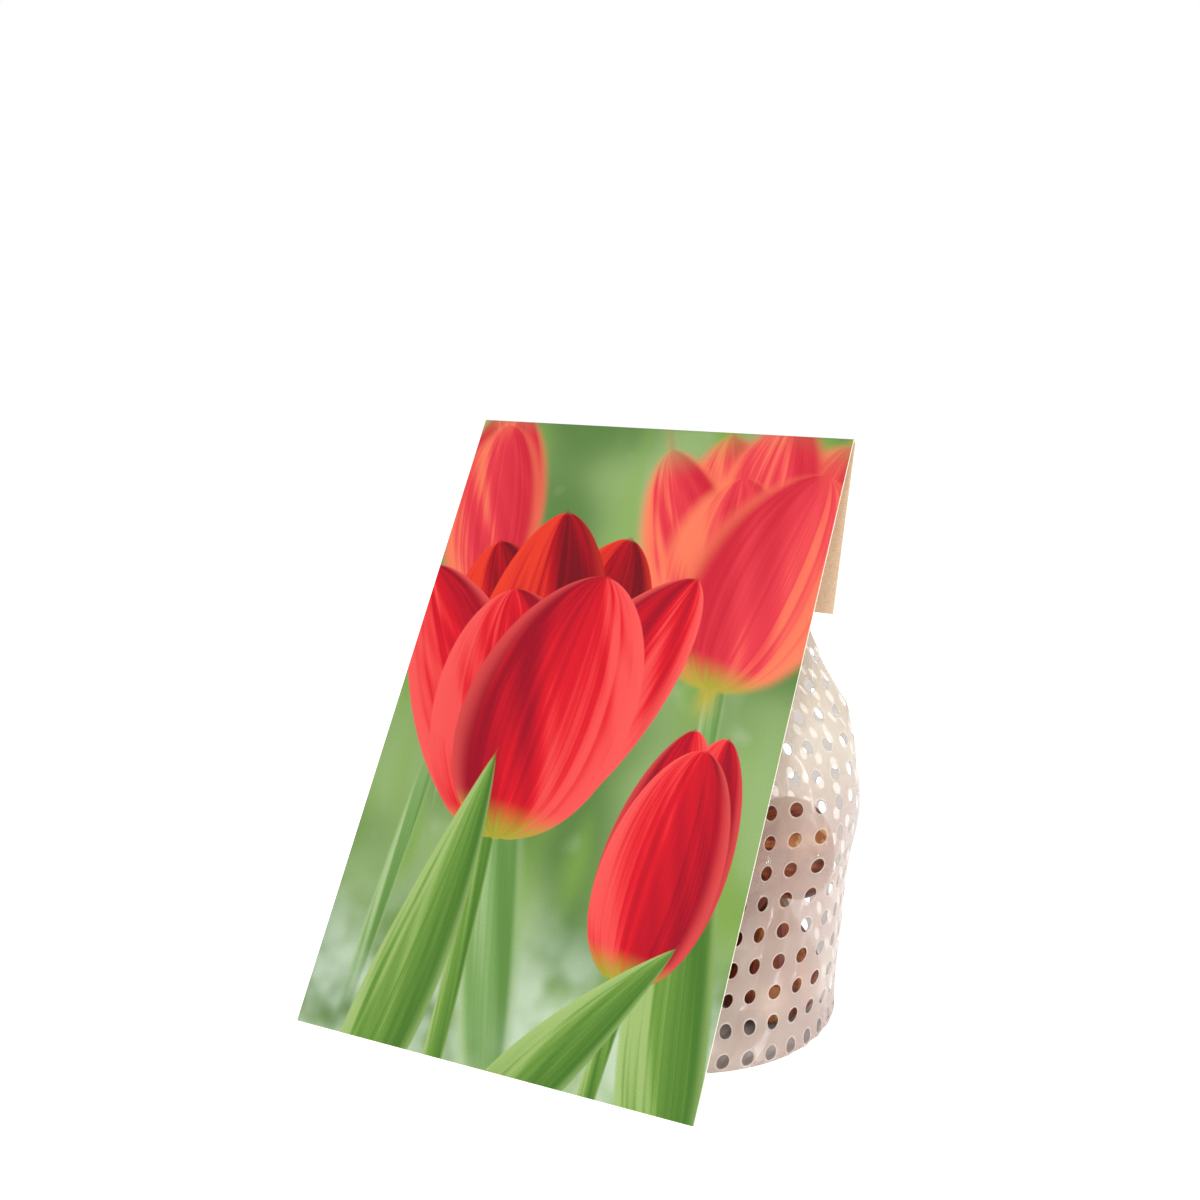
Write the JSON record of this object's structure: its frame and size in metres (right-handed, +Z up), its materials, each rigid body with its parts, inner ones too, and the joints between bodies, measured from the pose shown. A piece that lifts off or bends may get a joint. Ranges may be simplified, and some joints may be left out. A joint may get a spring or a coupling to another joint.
{
  "type": "tulip bulb pack",
  "caption": "Retail pack of tulip bulbs: perforated clear film bag of loose bulbs behind a tall folded picture card that leans back against it.",
  "frame": {"origin": "middle of the pack's footprint, on the surface it stands on", "axes": "+X to the pack's right as its printed face is seen, +Y away from the printed face towards the bag, +Z up"},
  "size_m": [0.17, 0.141, 0.1833],
  "materials": {
    "printed_board": "semi-gloss print outside, plain tan board inside",
    "clear_film": "thin milky glossy film",
    "staple_wire": "bright wire",
    "bulb_tunic": "papery brown skin, satin"
  },
  "bodies": {
    "root": {"header_card": "printed_board", "film_bag": "clear_film", "staple_left": "staple_wire", "staple_right": "staple_wire", "bulb_01": "bulb_tunic", "bulb_02": "bulb_tunic", "bulb_03": "bulb_tunic", "bulb_04": "bulb_tunic", "bulb_05": "bulb_tunic", "bulb_06": "bulb_tunic", "bulb_07": "bulb_tunic", "bulb_08": "bulb_tunic", "bulb_09": "bulb_tunic", "bulb_10": "bulb_tunic", "bulb_11": "bulb_tunic", "bulb_12": "bulb_tunic", "bulb_13": "bulb_tunic", "bulb_14": "bulb_tunic", "bulb_15": "bulb_tunic", "bulb_16": "bulb_tunic", "bulb_17": "bulb_tunic"}
  },
  "joints": []
}
